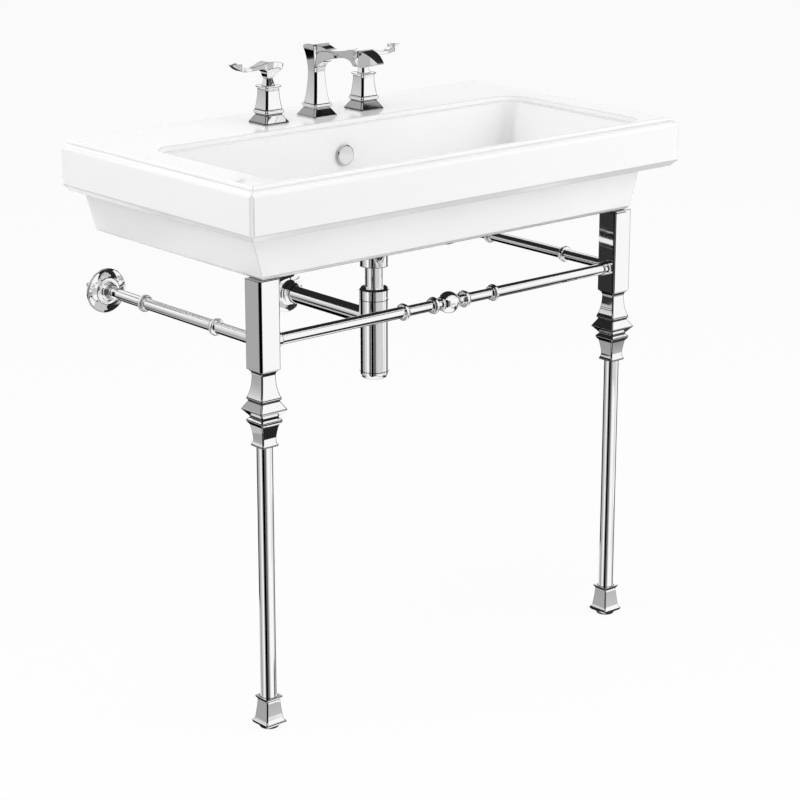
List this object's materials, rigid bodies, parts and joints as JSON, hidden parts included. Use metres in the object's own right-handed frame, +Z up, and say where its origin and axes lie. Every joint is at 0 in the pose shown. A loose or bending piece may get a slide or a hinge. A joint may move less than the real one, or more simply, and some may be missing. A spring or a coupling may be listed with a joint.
{
  "type": "console basin",
  "caption": "Rectangular china console basin, fixed to a wall and carried in front by metal legs and rails, with a lever tap, a waste with plug and a bottle trap.",
  "frame": {"origin": "midway between the two wall studs, on the wall plane", "axes": "+Z up; +Y into the wall, so the basin's front faces -Y; +X to the right for someone who faces the wall"},
  "size_m": [0.9, 0.56, 1.014],
  "materials": {
    "china": "white glaze",
    "chrome": "polished",
    "brass": "machined",
    "steel": "zinc plated",
    "rubber": "matt"
  },
  "bodies": {
    "stand": {"basin": "china", "overflow_cover": "chrome", "waste_body": "chrome", "waste_gasket": "rubber", "waste_nut": "brass", "plug_guide": "brass", "spout": "chrome", "aerator": "steel", "spout_shank": "brass", "feed_tee": "brass", "feed_tubes": "brass", "deck_washers": "rubber", "deck_nuts": "brass", "left_valve_column": "chrome", "left_neck": "chrome", "left_valve_body": "brass", "right_valve_column": "chrome", "right_neck": "chrome", "right_valve_body": "brass", "trap_nut": "chrome", "trap_dip_tube": "chrome", "trap_seals": "rubber", "trap_cap": "chrome", "trap_body": "chrome", "trap_cup": "chrome", "outlet_tube": "chrome", "outlet_collar": "chrome", "outlet_plate": "chrome", "left_post": "chrome", "right_post": "chrome", "left_vase": "chrome", "right_vase": "chrome", "left_collar": "chrome", "right_collar": "chrome", "left_cup": "chrome", "right_cup": "chrome", "left_leg_tube": "chrome", "right_leg_tube": "chrome", "left_foot": "chrome", "right_foot": "chrome", "front_rail_tubes": "chrome", "front_rail_rings": "chrome", "front_rail_ball": "chrome", "side_rail_tubes": "chrome", "side_rail_rings": "chrome", "left_wall_plate": "chrome", "right_wall_plate": "chrome", "rail_anchors": "steel", "post_dowels": "steel", "wall_studs": "steel", "wall_nuts": "steel"},
    "left_handle": {"left_stem": "steel", "left_lever": "chrome", "left_lever_screw": "steel"},
    "right_handle": {"right_stem": "steel", "right_lever": "chrome", "right_lever_screw": "steel"},
    "waste_plug": {"plug": "chrome"},
    "left_foot_screw": {"left_leveller": "rubber"},
    "right_foot_screw": {"right_leveller": "rubber"}
  },
  "joints": [
    {"name": "left_lever_turn", "type": "hinge", "parent": "stand", "child": "left_handle", "pos_m": [-0.102, -0.09, 0.16], "axis": [0, 0, 1], "range_deg": [0, 90]},
    {"name": "right_lever_turn", "type": "hinge", "parent": "stand", "child": "right_handle", "pos_m": [0.102, -0.09, 0.16], "axis": [0, 0, 1], "range_deg": [-90, 0]},
    {"name": "plug_lift", "type": "slide", "parent": "stand", "child": "waste_plug", "axis": [0, 0, 1], "range_m": [0, 0.01]},
    {"name": "left_foot_level", "type": "slide", "parent": "stand", "child": "left_foot_screw", "axis": [0, 0, -1], "range_m": [0, 0.01]},
    {"name": "right_foot_level", "type": "slide", "parent": "stand", "child": "right_foot_screw", "axis": [0, 0, -1], "range_m": [0, 0.01]}
  ]
}
